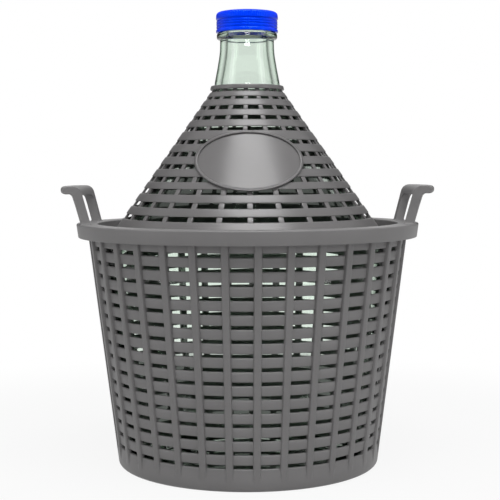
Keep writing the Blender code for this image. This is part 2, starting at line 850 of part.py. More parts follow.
def clear_scene():
    for item in list(bpy.data.objects):
        bpy.data.objects.remove(item, do_unlink=True)


def main():
    clear_scene()
    basket = build_basket()
    bottle = build_bottle()
    bottle.parent = basket
    cover = build_cover()
    cover.parent = bottle
    stopper = build_stopper()
    stopper.parent = bottle
    liner = build_liner()
    liner.parent = stopper
    cap = build_cap()
    cap.parent = liner


main()
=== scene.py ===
"""Looks of the glass demijohn in its slotted plastic basket, under its slotted cone cover.

All lengths are in metres, in the frame's own axes: +Z up, the front towards -Y. Each round piece
is grown ring by ring from an outline, so every mesh here is one closed skin.
"""

import math

import bmesh
import bpy
import numpy as np
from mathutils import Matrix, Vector


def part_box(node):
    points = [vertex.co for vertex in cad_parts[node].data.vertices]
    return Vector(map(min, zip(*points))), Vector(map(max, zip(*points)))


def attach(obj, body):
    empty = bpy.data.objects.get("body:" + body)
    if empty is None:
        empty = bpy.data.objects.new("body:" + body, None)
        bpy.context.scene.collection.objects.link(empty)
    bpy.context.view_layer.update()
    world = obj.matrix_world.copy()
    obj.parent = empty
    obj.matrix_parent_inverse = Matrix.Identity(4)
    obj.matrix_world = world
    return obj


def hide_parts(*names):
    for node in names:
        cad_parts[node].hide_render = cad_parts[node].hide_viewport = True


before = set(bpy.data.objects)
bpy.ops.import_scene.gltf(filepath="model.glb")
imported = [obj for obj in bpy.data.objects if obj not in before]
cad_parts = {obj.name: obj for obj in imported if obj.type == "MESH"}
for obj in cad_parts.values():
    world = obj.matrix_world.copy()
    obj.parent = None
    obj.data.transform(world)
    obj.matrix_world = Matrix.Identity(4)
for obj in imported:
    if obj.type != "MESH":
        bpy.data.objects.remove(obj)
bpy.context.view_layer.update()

MM = 0.001
FULL_TURN = 2 * math.pi

# Places read from the frame
BASKET_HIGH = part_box("basket")[1]
COVER_LOW, COVER_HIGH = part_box("cone_cover")
BOTTLE_LOW, BOTTLE_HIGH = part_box("glass_bottle")
STOPPER_LOW, STOPPER_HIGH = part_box("inner_stopper")
LINER_LOW, LINER_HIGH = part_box("cap_liner")
CAP_LOW, CAP_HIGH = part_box("screw_cap")

# The highest and widest points stay this far inside the solids' box
INSET = 0.1 * MM
# The innermost ring of a flat disc
AXIS_RADIUS = 4 * MM

# Basket
LEDGE_LEVEL = 240.6 * MM
LEDGE_THICKNESS = 2.6 * MM
LEDGE_INNER_RADIUS = 149.5 * MM
SEAT_LEVEL = 222.4 * MM
SEAT_INNER_RADIUS = 146.5 * MM
SEAT_THICKNESS = 2.2 * MM
RIM_RADIUS = 170.05 * MM
APRON_FOOT_RADIUS = 168.2 * MM
APRON_FOOT_LEVEL = 226.9 * MM
APRON_THICKNESS = 2.6 * MM
RIB_COUNT = 33
RIB_PHASE = math.radians(3.55)
RIB_FOOT_RADIUS = 130.2 * MM
RIB_TOP_RADIUS = 159.9 * MM
RIB_FOOT_WIDTH = 7.2 * MM
RIB_TOP_WIDTH = 7.9 * MM
RIB_END_WIDTH_SHARE = 0.55
RIB_LOW_DEPTH = 1.7 * MM
RIB_DEPTH = 2.6 * MM
RIB_END_LEVEL = 7.5 * MM
WALL_THICKNESS = 2.6 * MM
SLOT_ROWS = 16
SLOT_HEIGHT = 3.6 * MM
LOWEST_SLOT_LEVEL = 23.8 * MM
HIGHEST_SLOT_LEVEL = 217.9 * MM
FOOT_BAND_STEPS = 8
FOOT_BAND_MARGIN = 1.2 * MM
UNDERSIDE_LEVEL = 2 * MM
STANDING_RADIUS = 113.7 * MM
FLOOR_LEVEL = 5 * MM
FLOOR_INSET = 2 * MM
FLOOR_EDGE_LEVEL = 14 * MM

# Handles
HANDLE_TOP_LEVEL = BASKET_HIGH.z - INSET
HANDLE_ROOT_LEVEL = 239.4 * MM
HANDLE_INNER_RADIUS = 157.6 * MM
HANDLE_THICKNESS = 9.3 * MM
HANDLE_LEAN = 10.2 * MM
HANDLE_SLOPE = HANDLE_LEAN / (HANDLE_TOP_LEVEL - LEDGE_LEVEL)
HANDLE_LIP_RADIUS = BASKET_HIGH.x - INSET
HANDLE_LIP_LEVEL = 269.9 * MM
HANDLE_HALF_LENGTH = 46 * MM
HANDLE_GAP_HALF_LENGTH = 40 * MM
HANDLE_WINDOW_LEVEL = 267.8 * MM
HANDLE_WINDOW_RADIUS = 6 * MM
HANDLE_FLARE = 1.3 * MM
HANDLE_FLARE_SHARES = (0.15, 0.4, 1)
HANDLE_STEPS = 6
HANDLE_BEVEL = 0.9 * MM

# Cone cover: each row of slots has the level of its middle and its height
COVER_BASE_LEVEL = COVER_LOW.z
CONE_BASE_RADIUS = 140.5 * MM
CONE_SLOPE = -0.7073
CONE_START_LEVEL = 235 * MM
COVER_WALL_THICKNESS = 3.2 * MM
RIB_RECESS = 0.7 * MM
RIB_EDGE_DROP = 0.8 * MM
SLOT_LIP = 0.04 * MM
BAND_INNER_DROP = 1.5 * MM
COVER_TURN = math.radians(1.3)
LOW_RIB_COUNT = 27
LOW_RIB_WIDTH = 5.2 * MM
LOW_ROWS = [(247.8 * MM, 4.8 * MM), (260.2 * MM, 5.2 * MM), (272.6 * MM, 5 * MM)]
MIDDLE_RIB_COUNT = 28
MIDDLE_RIB_WIDTH = 4.6 * MM
MIDDLE_ROWS = [
    (284.1 * MM, 5 * MM), (296.2 * MM, 4.5 * MM), (308.1 * MM, 4.4 * MM), (319.8 * MM, 3.9 * MM)]
HIGH_RIB_COUNT = 20
HIGH_RIB_PHASE = math.radians(-1.7)
HIGH_RIB_WIDTH = 4.4 * MM
HIGH_ROWS = [
    (332.5 * MM, 3.9 * MM), (343.2 * MM, 3.9 * MM), (353.2 * MM, 3.9 * MM), (362.8 * MM, 2.6 * MM)]
COLLAR_SLOT_LOW = 369.4 * MM
COLLAR_SLOT_HIGH = 371.7 * MM
COLLAR_RADIUS = 36.9 * MM
COLLAR_TOP_RADIUS = 36 * MM
COLLAR_HOLE_RADIUS = 33.7 * MM
COLLAR_TOP_LEVEL = COVER_HIGH.z
COLLAR_HOLE_MARGIN = 0.4 * MM
FLANGE_RADIUS = 147.9 * MM
FLANGE_TOP_LEVEL = 225.1 * MM

# Plaque
PLAQUE_LEVEL = 301.6 * MM
PLAQUE_HALF_WIDTH = 51.6 * MM
PLAQUE_HALF_HEIGHT = 28.1 * MM
PLAQUE_RISE = 1.2 * MM
PLAQUE_BEAD_RISE = 1.9 * MM
PLAQUE_BEAD_WIDTH = 1.9 * MM
PLAQUE_BEAD_STEPS = 8
PLAQUE_EDGE_HEIGHT = 0.5 * MM
PLAQUE_EDGE_SHARES = (1.003, 1.006)
PLAQUE_ROOT = -1.3 * MM
PLAQUE_POINTS = 128
PLAQUE_LOOPS = 14

# Bottle: each corner with three numbers has a radius, a level and a fillet
MOUTH_LEVEL = BOTTLE_HIGH.z
BORE_RADIUS = 20 * MM
FINISH_RADIUS = 26.2 * MM
BEAD_RADIUS = 30 * MM
BEAD_TOP_LEVEL = 427.8 * MM
BEAD_FOOT_LEVEL = 421.4 * MM
NECK_ROOT = (32.6 * MM, 368.9 * MM)
NECK_BENDS = [
    (32.4 * MM, 378.5 * MM, 30 * MM), (29.6 * MM, 393 * MM, 150 * MM), (26.9 * MM, 409 * MM, 150 * MM)]
NECK_TOP_RADIUS = 26.7 * MM
BODY_TOP = (144.6 * MM, 204 * MM)
HEEL_RADIUS = 121.6 * MM
STANDING_RING_RADIUS = 87 * MM
BOTTLE_FOOT_LEVEL = BOTTLE_LOW.z
PUNT_LEVEL = 14.3 * MM
PUNT_EDGE = (66 * MM, 9.8 * MM)
GLASS_THICKNESS = 4 * MM
NECK_EXTRA = 2.6 * MM
NECK_EXTRA_LEVELS = (300 * MM, 340 * MM)
SHOULDER_EXTRA = 3 * MM
SHOULDER_LEVEL = 200 * MM
SHOULDER_REACH = 70 * MM
SHOULDER_END_LEVELS = (222 * MM, 242 * MM)
WALL_LEVELS = (20 * MM, BEAD_FOOT_LEVEL - 1.2 * MM)
BORE_FOOT_LEVEL = 415 * MM
INNER_HEEL_LEVEL = 42 * MM
INNER_STEP = 3 * MM
INNER_BOTTOM = [
    (117.4 * MM, 9.6 * MM, 31 * MM), (84 * MM, 9.8 * MM, 14 * MM), (60 * MM, 16 * MM, 14 * MM),
    (0, 20 * MM, 0)]
BOTTLE_SEGMENTS = 160
THREAD_RADIUS = 27.4 * MM
THREAD_LEAD = 6 * MM
THREAD_TURNS = 1.5
THREAD_STEPS = 150
THREAD_HALF_HEIGHT = 1.5 * MM
THREAD_SINK = 0.3 * MM
THREAD_START_RISE = 5 * MM
THREAD_FADE_SHARE = 0.06
THREAD_END_SHARE = 0.02

# Closure
CAP_RADIUS = 30.75 * MM
CAP_INNER_RADIUS = 27.6 * MM
CAP_SHOULDER_RISE = 13.6 * MM
KNURL_COUNT = 96
KNURL_DEPTH = 0.5 * MM
KNURL_START_RISES = (14 * MM, 15.5 * MM)
KNURL_END_INSETS = (4.5 * MM, 7.5 * MM)
CLOSURE_SEGMENTS = 96
CLOSURE_GAP = 0.3 * MM
PLUG_RADIUS = 19.7 * MM
STOPPER_WALL = 1.4 * MM

# Room: each pair is where a slope starts and ends, as a part of the ray's direction
AMBIENT_STRENGTH = 0.25
MIRROR_STRENGTH = 0.8
GLASS_STRENGTH = 0.85
HORIZON_SHARE = 0.1
HORIZON_SLOPE = (0.03, 0.06)
SIDE_SHARE = 0.12
SIDE_SLOPE = (0.35, 0.9)
FLAG_SHARE = 0.15
FLAG_DEPTH_SLOPE = (0.2, 0.8)
FLAG_SIDE_SLOPE = (0.14, 0.3)

# Floor: each pair is where a slope starts and ends, as a distance from the object's axis
FLOOR_HALF_SIZE = 30
SHADOW_SHARE = 0.9
SHADOW_SLOPE = (0.35, 0.7)
# Painted shade on the floor as seen through the glass, near the object and far off
NEAR_PAINTED_SHADE = 0.87
NEAR_SLOPE = (0.66, 0.759)
FAR_PAINTED_SHADE = 0.9
FAR_SLOPE = (3.2, 4.16)

# The point that the lamps face
LAMP_TARGET = Vector((0, 0, 0.22))


# Outlines

def rounded(corners, steps=5):
    """Turn (radius, level, fillet) corners into points, with an arc at each filleted corner."""
    points = []
    for index, (radius, level, fillet) in enumerate(corners):
        corner = Vector((radius, level))
        if not fillet or index in (0, len(corners) - 1):
            points.append((corner.x, corner.y))
            continue
        back = Vector(corners[index - 1][:2]) - corner
        ahead = Vector(corners[index + 1][:2]) - corner
        half = back.angle(ahead) / 2
        reach = min(fillet / math.tan(half), back.length / 2, ahead.length / 2)
        arc_radius = reach * math.tan(half)
        back.normalize()
        ahead.normalize()
        centre = corner + (back + ahead).normalized() * (arc_radius / math.sin(half))
        start = corner + back * reach - centre
        sweep = start.angle_signed(corner + ahead * reach - centre)
        for step in range(steps + 1):
            turn = -sweep * step / steps
            points.append((
                centre.x + start.x * math.cos(turn) - start.y * math.sin(turn),
                centre.y + start.x * math.sin(turn) + start.y * math.cos(turn)))
    return points


def smoothstep(low, high, value):
    share = min(max((value - low) / (high - low), 0), 1)
    return share * share * (3 - 2 * share)


# Skins grown from rings

class Skin:
    """A mesh in the making. Rings are given from the front, in order of angle."""

    def __init__(self):
        self.points = []
        self.faces = []
        self.ring_angles = {}

    def ring(self, radii, angles, levels):
        start = len(self.points)
        self.ring_angles[start] = angles
        radii = np.broadcast_to(radii, angles.shape)
        levels = np.broadcast_to(levels, angles.shape)
        places = np.stack([radii * np.sin(angles), -radii * np.cos(angles), levels], axis=1)
        self.points += places.tolist()
        return np.arange(start, start + len(angles))

    def strip(self, first, second, keep=None):
        """Fill the band between two rings, or only the sectors that keep marks."""
        after_first = np.roll(first, -1)
        after_second = np.roll(second, -1)
        quads = np.stack([first, after_first, after_second, second], axis=1)
        if keep is not None:
            quads = quads[keep]
        self.faces += quads.tolist()

    def extend(self, ring, following):
        """Run the skin on from one ring to the next, and return the next."""
        self.strip(ring, following)
        return following

    def follow(self, ring, angles, outline):
        """Run the skin on along an outline, and return the last ring."""
        for radius, level in outline:
            ring = self.extend(ring, self.ring(radius, angles, level))
        return ring

    def stitch(self, first, second):
        """Fill the band between two rings of any counts with triangles, from the back round."""
        sides = []
        for ring in (first, second):
            from_back = (self.ring_angles[int(ring[0])] + math.pi) % FULL_TURN
            order = np.argsort(from_back)
            verts = ring[order].tolist()
            sides.append((verts + verts[:1], from_back[order].tolist() + [from_back.min() + FULL_TURN]))
        (near_verts, near_angles), (far_verts, far_angles) = sides
        near = 0
        far = 0
        while near < len(first) or far < len(second):
            here = [near_verts[near], far_verts[far]]
            if far == len(second) or (near < len(first) and near_angles[near + 1] <= far_angles[far + 1]):
                near += 1
                self.faces.append(here + [near_verts[near]])
            else:
                far += 1
                self.faces.append(here + [far_verts[far]])

    def slot_row(self, outer_low, outer_high, inner_low, inner_high, rib_sectors, edge_lines):
        """The ribs between the slots of a row inside, and the four walls of each slot."""
        self.strip(inner_high, inner_low, rib_sectors)
        self.strip(outer_high, inner_high, ~rib_sectors)
        self.strip(outer_low, inner_low, ~rib_sectors)
        sides = np.stack([outer_low, inner_low, inner_high, outer_high], axis=1)
        self.faces += sides[edge_lines].tolist()

    def cap(self, ring, centre):
        self.points.append(tuple(centre))
        tip = len(self.points) - 1
        after = np.roll(ring, -1)
        self.faces += [[int(a), int(b), tip] for a, b in zip(ring, after)]

    def build(self, name, material, smooth_angle=40):
        mesh = bpy.data.meshes.new(name)
        mesh.from_pydata(self.points, [], self.faces)
        return finish_mesh(name, mesh, material, smooth_angle)


def finish_mesh(name, mesh, material, smooth_angle=40):
    """Turn the faces outwards, shade them smooth and link the object."""
    bm = bmesh.new()
    bm.from_mesh(mesh)
    bmesh.ops.recalc_face_normals(bm, faces=bm.faces)
    bm.to_mesh(mesh)
    bm.free()
    mesh.shade_smooth()
    mesh.set_sharp_from_angle(angle=math.radians(smooth_angle))
    mesh.materials.append(material)
    piece = bpy.data.objects.new(name, mesh)
    bpy.context.scene.collection.objects.link(piece)
    return piece


def finish_bmesh(name, bm, material, smooth_angle):
    mesh = bpy.data.meshes.new(name)
    bm.to_mesh(mesh)
    bm.free()
    return finish_mesh(name, mesh, material, smooth_angle)


def even_angles(count, phase=0.0):
    return phase + np.arange(count) * FULL_TURN / count


def turned(name, outline, segments, material, smooth_angle=40):
    """Revolve an outline that starts and ends on the axis, or that closes on itself."""
    skin = Skin()
    angles = even_angles(segments)
    on_axis = outline[0][0] < 1e-6
    body = outline[1:-1] if on_axis else outline
    rings = [skin.ring(radius, angles, level) for radius, level in body]
    for first, second in zip(rings, rings[1:]):
        skin.strip(first, second)
    if on_axis:
        skin.cap(rings[0], (0, 0, outline[0][1]))
        skin.cap(rings[-1], (0, 0, outline[-1][1]))
    else:
        skin.strip(rings[-1], rings[0])
    return skin.build(name, material, smooth_angle)


# Materials

class Nodes:
    """A node tree in the making. An input takes a socket, which is linked, or a plain value."""

    def __init__(self, tree):
        self.nodes = tree.nodes
        self.links = tree.links

    def wire(self, node, inputs):
        for name, value in inputs.items():
            if isinstance(value, bpy.types.NodeSocket):
                self.links.new(value, node.inputs[name])
            else:
                node.inputs[name].default_value = value
        return node

    def add(self, kind, inputs=None, **settings):
        node = self.nodes.new("ShaderNode" + kind)
        for name, value in settings.items():
            setattr(node, name, value)
        return self.wire(node, inputs or {})

    def position(self):
        return self.add("TexCoord").outputs["Object"]

    def noise(self, position, scale, detail, roughness=0.5):
        inputs = {"Vector": position, "Scale": scale, "Detail": detail, "Roughness": roughness}
        return self.add("TexNoise", inputs).outputs["Fac"]

    def ramp(self, source, stops):
        node = self.add("ValToRGB", {"Fac": source})
        elements = node.color_ramp.elements
        elements[0].position = stops[0][0]
        elements[1].position = stops[-1][0]
        for position, colour in stops[1:-1]:
            elements.new(position)
        for element, (position, colour) in zip(elements, stops):
            element.color = (*colour, 1)
        return node.outputs["Color"]

    def span(self, source, start, end, low, high, kind="LINEAR"):
        """Run from low to high, while the source goes from start to end."""
        inputs = {
            "Value": source, "From Min": start, "From Max": end, "To Min": low, "To Max": high}
        return self.add("MapRange", inputs, interpolation_type=kind).outputs["Result"]

    def slope(self, source, start, end, low, high):
        return self.span(source, start, end, low, high, "SMOOTHSTEP")

    def bump(self, height, strength, distance, normal=None):
        node = self.add("Bump", {"Height": height, "Strength": strength, "Distance": distance})
        if normal is not None:
            self.wire(node, {"Normal": normal})
        return node.outputs["Normal"]

    def math(self, operation, *values):
        return self.add("Math", dict(enumerate(values)), operation=operation).outputs[0]

    def mix_surface(self, share, first, second):
        """Let the surface show the first shader, and the second by the share."""
        mix = self.add("MixShader", {"Fac": share, 1: first, 2: second})
        self.wire(self.nodes["Material Output"], {"Surface": mix.outputs["Shader"]})


def new_material(name):
    material = bpy.data.materials.new(name)
    material.use_nodes = True
    tree = Nodes(material.node_tree)
    return material, tree, tree.nodes["Principled BSDF"]


def moulded_plastic(name, dark, light, roughness, streak_scale):
    """Satin moulded plastic: cloudy pigment with flow streaks, soft hollows and a fine grain."""
    material, tree, shader = new_material(name)
    position = tree.position()
    stretch = tree.add("Mapping", {"Vector": position, "Scale": streak_scale})
    streaks = tree.noise(stretch.outputs["Vector"], 9, 4)
    clouds = tree.noise(position, 26, 5)
    pigment = tree.add("Mix", {"Factor": 0.45, "A": streaks, "B": clouds})
    soft = tree.bump(tree.noise(position, 55, 2), 0.12, 0.6 * MM)
    tree.wire(shader, {
        "Base Color": tree.ramp(pigment.outputs["Result"], [(0.32, dark), (0.68, light)]),
        "Roughness": tree.span(clouds, 0.3, 0.7, *roughness),
        "Normal": tree.bump(tree.noise(position, 1400, 3, 0.65), 0.16, 0.08 * MM, soft),
        "IOR": 1.5,
    })
    return material


def basket_plastic():
    return moulded_plastic(
        "basket_plastic", (0.154, 0.15, 0.151), (0.18, 0.176, 0.177), (0.4, 0.5), (1, 1, 0.25))


def cover_plastic():
    return moulded_plastic(
        "cover_plastic", (0.115, 0.111, 0.112), (0.136, 0.132, 0.133), (0.28, 0.38), (1, 1, 0.4))


def pale_green_glass():
    """Pressed glass: faint ripples, a green that deepens with thickness, and painted shade as dark
    outlines at the edges.
    """
    material, tree, shader = new_material("bottle_glass")
    facing = tree.add("LayerWeight", {"Blend": 0.5}).outputs["Facing"]
    # Painted shade: the glass turns dark green to black where its surface turns away from the view.
    painted_edge_shade_colours = [
        (0.6, (0.97, 0.99, 0.975)), (0.7, (0.1, 0.14, 0.11)), (0.84, (0.02, 0.03, 0.02))]
    tree.wire(shader, {
        "Base Color": tree.ramp(facing, painted_edge_shade_colours),
        "Transmission Weight": 1,
        "Roughness": 0,
        "IOR": 1.5,
        "Normal": tree.bump(tree.noise(tree.position(), 26, 2), 0.1, 0.9 * MM),
    })
    absorb = tree.add("VolumeAbsorption", {"Color": (0.72, 0.9, 0.74, 1), "Density": 44})
    tree.wire(tree.nodes["Material Output"], {"Volume": absorb.outputs["Volume"]})
    let_through = tree.add("BsdfTransparent", {"Color": (0.84, 0.88, 0.85, 1)})
    is_shadow = tree.add("LightPath").outputs["Is Shadow Ray"]
    tree.mix_surface(is_shadow, shader.outputs["BSDF"], let_through.outputs["BSDF"])
    return material


def cap_plastic():
    """Glossy moulded plastic with faint clouds and a slight waviness."""
    material, tree, shader = new_material("cap_plastic")
    position = tree.position()
    clouds = tree.noise(position, 60, 4)
    tree.wire(shader, {
        "Base Color": tree.ramp(clouds, [(0.3, (0.0, 0.036, 0.92)), (0.7, (0.0, 0.046, 1.0))]),
        "Roughness": tree.span(clouds, 0.3, 0.7, 0.12, 0.2),
        "Normal": tree.bump(tree.noise(position, 160, 2), 0.12, 0.2 * MM),
        "Specular IOR Level": 0.25,
        "Specular Tint": (0.05, 0.5, 1, 1),
    })
    return material


def natural_plastic():
    """Milky plastic of the inner stopper."""
    material, tree, shader = new_material("stopper_plastic")
    clouds = tree.noise(tree.position(), 90, 4)
    tree.wire(shader, {
        "Base Color": tree.ramp(clouds, [(0.3, (0.76, 0.76, 0.72)), (0.7, (0.85, 0.85, 0.81))]),
        "Roughness": tree.span(clouds, 0.3, 0.7, 0.36, 0.5),
        "Normal": tree.bump(clouds, 0.15, 0.2 * MM),
    })
    return material


def liner_foam():
    """Closed-cell foam: small round cells in a white sheet."""
    material, tree, shader = new_material("liner_foam")
    voronoi = tree.add("TexVoronoi", {"Vector": tree.position(), "Scale": 1500})
    cells = voronoi.outputs["Distance"]
    tree.wire(shader, {
        "Base Color": tree.ramp(cells, [(0.1, (0.8, 0.8, 0.78)), (0.6, (0.9, 0.9, 0.88))]),
        "Roughness": 0.85,
        "Normal": tree.bump(cells, 0.35, 0.15 * MM),
    })
    return material


# Slotted walls

# Lips: how far from the slot's edge, and how far the surface draws back there, in millimetres
LIP_STEPS = [(0.9, 0.0), (0.35, 0.1), (0.1, 0.3), (0.0, 0.55)]
LOWER_LIP_STEPS = [(1.05, 0.0), (0.8, 0.14), (0.1, 0.5), (0.0, 0.75)]
INNER_LIP_STEPS = (0.8, 0.25)
COVER_LIP_STEPS = [(1.1, 0.0), (0.45, 0.1), (0.12, 0.32), (0.0, 0.6)]

# Lines across a rib: the share of its half width, and the share of its height
RIB_LINES = [(-1, 0), (-0.93, 0.36), (-0.84, 0.82), (-0.78, 0.95), (-0.68, 1), (0, 1)]
RIB_LINES += [(-share, height) for share, height in reversed(RIB_LINES[:-1])]
COVER_RIB_LINES = [(-1, 0.7), (-0.8, 0.93), (-0.45, 1), (0, 1)]
COVER_RIB_LINES += [(-share, height) for share, height in reversed(COVER_RIB_LINES[:-1])]

# Lines inside a bay, between two ribs
BAY_LINES = 7
LOW_BAY_LINES = 8
MIDDLE_BAY_LINES = 8
HIGH_BAY_LINES = 14


def bay_lines(count, half_angle, rib_lines, interior, phase):
    """The angles of all lines round the wall, and the rib's height at each of them."""
    pitch = FULL_TURN / count
    local = [share * half_angle for share, height in rib_lines]
    heights = [height for share, height in rib_lines] + [0] * interior
    span = pitch - 2 * half_angle
    local += [half_angle + span * (step + 1) / (interior + 1) for step in range(interior)]
    centres = phase + pitch * np.arange(count)
    angles = (centres[:, None] + np.array(local)[None, :]).ravel()
    return angles, np.tile(heights, count)


def wall_sectors(count, rib_lines, interior):
    """Which sectors of a ring lie on ribs, and the lines at which ribs and bays meet."""
    ribs = len(rib_lines)
    rib_sectors = np.tile([True] * (ribs - 1) + [False] * (interior + 1), count)
    starts = np.arange(count) * (ribs + interior)
    return rib_sectors, np.sort(np.concatenate([starts, starts + ribs - 1]))


# Basket

def rib_line(level):
    return RIB_FOOT_RADIUS + (RIB_TOP_RADIUS - RIB_FOOT_RADIUS) * level / LEDGE_LEVEL


def rib_depth(level):
    """Ribs stand proud by less towards the foot, and fade into the foot band."""
    share = min(max((level - LOWEST_SLOT_LEVEL) / (LEDGE_LEVEL / 2), 0), 1)
    depth = RIB_LOW_DEPTH + (RIB_DEPTH - RIB_LOW_DEPTH) * share
    return depth * smoothstep(RIB_END_LEVEL, LOWEST_SLOT_LEVEL, level)


def basket_lines(level):
    fade = smoothstep(0, LOWEST_SLOT_LEVEL, level)
    width = RIB_FOOT_WIDTH + (RIB_TOP_WIDTH - RIB_FOOT_WIDTH) * level / LEDGE_LEVEL
    width *= RIB_END_WIDTH_SHARE + (1 - RIB_END_WIDTH_SHARE) * fade
    return bay_lines(RIB_COUNT, width / 2 / rib_line(level), RIB_LINES, BAY_LINES, RIB_PHASE)


def basket_rim_outline():
    """From the ledge's underside round the apron, over the ledge and down onto the seat."""
    return rounded([
        (RIM_RADIUS - APRON_THICKNESS, LEDGE_LEVEL - LEDGE_THICKNESS, 1.2 * MM),
        (APRON_FOOT_RADIUS - APRON_THICKNESS, APRON_FOOT_LEVEL, 0.9 * MM),
        (APRON_FOOT_RADIUS, APRON_FOOT_LEVEL, 1 * MM),
        (RIM_RADIUS, LEDGE_LEVEL, 1.3 * MM),
        (LEDGE_INNER_RADIUS, LEDGE_LEVEL, 1.3 * MM),
        (LEDGE_INNER_RADIUS, SEAT_LEVEL, 0.8 * MM),
        (SEAT_INNER_RADIUS, SEAT_LEVEL, 0.8 * MM),
        (SEAT_INNER_RADIUS, SEAT_LEVEL - SEAT_THICKNESS, 0),
    ])


def basket_foot_outline():
    """From the middle of the underside round the standing ring to the end of the ribs."""
    return rounded([
        (AXIS_RADIUS, UNDERSIDE_LEVEL, 0),
        (STANDING_RADIUS - UNDERSIDE_LEVEL, UNDERSIDE_LEVEL, 1 * MM),
        (STANDING_RADIUS, 0, 0.8 * MM),
        (rib_line(0), 0, 5 * MM),
        (rib_line(RIB_END_LEVEL), RIB_END_LEVEL, 0),
    ])


def basket_floor_outline():
    """From the inside of the wall down its round corner and over the floor."""
    floor_radius = rib_line(FLOOR_LEVEL) - WALL_THICKNESS - FLOOR_INSET
    return rounded([
        (floor_radius + FLOOR_INSET / 2, FLOOR_EDGE_LEVEL, 0),
        (floor_radius, FLOOR_LEVEL, 4 * MM),
        (AXIS_RADIUS, FLOOR_LEVEL, 0),
    ])


def build_basket(material):
    """One skin: underside, ribbed outside, rim, seat, slotted inside and floor."""
    skin = Skin()
    rib_sectors, edge_lines = wall_sectors(RIB_COUNT, RIB_LINES, BAY_LINES)
    rows = np.linspace(LOWEST_SLOT_LEVEL, HIGHEST_SLOT_LEVEL, SLOT_ROWS)

    def plain_ring(radius, level):
        return skin.ring(radius, basket_lines(level)[0], level)

    def outer_ring(level, lip=0.0):
        angles, heights = basket_lines(level)
        proud = rib_depth(level)
        radii = rib_line(level) - proud + heights * proud - lip * MM * (heights == 0)
        return skin.ring(radii, angles, level)

    def inner_ring(level, lip=0.0):
        return plain_ring(rib_line(level) - rib_depth(level) - WALL_THICKNESS + lip * MM, level)

    foot = basket_foot_outline()
    ring = skin.ring(foot[0][0], basket_lines(0)[0], foot[0][1])
    skin.cap(ring, (0, 0, foot[0][1]))
    for radius, level in foot[1:]:
        ring = skin.extend(ring, plain_ring(radius, level))
    band_top = rows[0] - SLOT_HEIGHT / 2 - FOOT_BAND_MARGIN
    for level in np.linspace(RIB_END_LEVEL, band_top, FOOT_BAND_STEPS + 1)[1:]:
        ring = skin.extend(ring, outer_ring(level))

    slots = []
    for middle in rows:
        low = middle - SLOT_HEIGHT / 2
        high = middle + SLOT_HEIGHT / 2
        for rise, lip in LOWER_LIP_STEPS:
            ring = skin.extend(ring, outer_ring(low - rise * MM, lip))
        below = ring
        ring = outer_ring(high, LIP_STEPS[-1][1])
        skin.strip(below, ring, rib_sectors)
        slots.append((low, high, below, ring))
        for rise, lip in reversed(LIP_STEPS[:-1]):
            ring = skin.extend(ring, outer_ring(high + rise * MM, lip))
    for level in (SEAT_LEVEL, APRON_FOOT_LEVEL, LEDGE_LEVEL - LEDGE_THICKNESS):
        ring = skin.extend(ring, outer_ring(level))

    ring = skin.follow(ring, basket_lines(LEDGE_LEVEL)[0], basket_rim_outline())
    for low, high, outer_low, outer_high in reversed(slots):
        inner_high = inner_ring(high, INNER_LIP_STEPS[-1])
        for rise in INNER_LIP_STEPS:
            ring = skin.extend(ring, inner_ring(high + rise * MM))
        skin.strip(ring, inner_high)
        ring = inner_ring(low, INNER_LIP_STEPS[-1])
        skin.slot_row(outer_low, outer_high, ring, inner_high, rib_sectors, edge_lines)
        for rise in reversed(INNER_LIP_STEPS):
            ring = skin.extend(ring, inner_ring(low - rise * MM))
    for radius, level in basket_floor_outline():
        ring = skin.extend(ring, plain_ring(radius, level))
    skin.cap(ring, (0, 0, FLOOR_LEVEL))
    return skin.build("basket_shell", material, 50)


# Handles

def handle_inner(level):
    return HANDLE_INNER_RADIUS + HANDLE_SLOPE * (level - LEDGE_LEVEL)


def handle_flare(level):
    """The round foot by which a leg widens where it meets the ledge."""
    rise = min(max((level - LEDGE_LEVEL) / HANDLE_FLARE, 0), 1)
    return HANDLE_FLARE * (1 - math.sqrt(1 - (1 - rise) ** 2))


def handle_outline():
    """The handle's end view: inner face up, over the lip, and back down the outer face."""
    return rounded([
        (handle_inner(HANDLE_ROOT_LEVEL), HANDLE_ROOT_LEVEL, 0),
        (handle_inner(HANDLE_TOP_LEVEL), HANDLE_TOP_LEVEL, 9 * MM),
        (HANDLE_LIP_RADIUS, HANDLE_TOP_LEVEL, 3.4 * MM),
        (HANDLE_LIP_RADIUS, HANDLE_LIP_LEVEL, 3.4 * MM),
        (handle_inner(HANDLE_LIP_LEVEL) + HANDLE_THICKNESS, HANDLE_LIP_LEVEL, 4 * MM),
        (handle_inner(HANDLE_ROOT_LEVEL) + HANDLE_THICKNESS, HANDLE_ROOT_LEVEL, 0),
    ], 6)


def handle_stations():
    """Places along the handle, and how far the finger gap's top hangs down at each."""
    half = [(HANDLE_HALF_LENGTH, 0), (HANDLE_GAP_HALF_LENGTH, HANDLE_WINDOW_RADIUS)]
    for step in range(1, HANDLE_STEPS + 1):
        turn = math.pi / 2 * step / HANDLE_STEPS
        half.append((
            HANDLE_GAP_HALF_LENGTH - HANDLE_WINDOW_RADIUS * (1 - math.cos(turn)),
            HANDLE_WINDOW_RADIUS * (1 - math.sin(turn))))
    inner_end = half[-1][0]
    half += [(inner_end * (1 - step / HANDLE_STEPS), 0) for step in range(1, HANDLE_STEPS + 1)]
    return [(-distance, drop) for distance, drop in half] + half[-2::-1]


def bridge(bm, first, second, closed=True):
    """Fill the band between two rows of vertices with quads."""
    count = len(first)
    for index in range(count if closed else count - 1):
        after = (index + 1) % count
        bm.faces.new((first[index], first[after], second[after], second[index]))


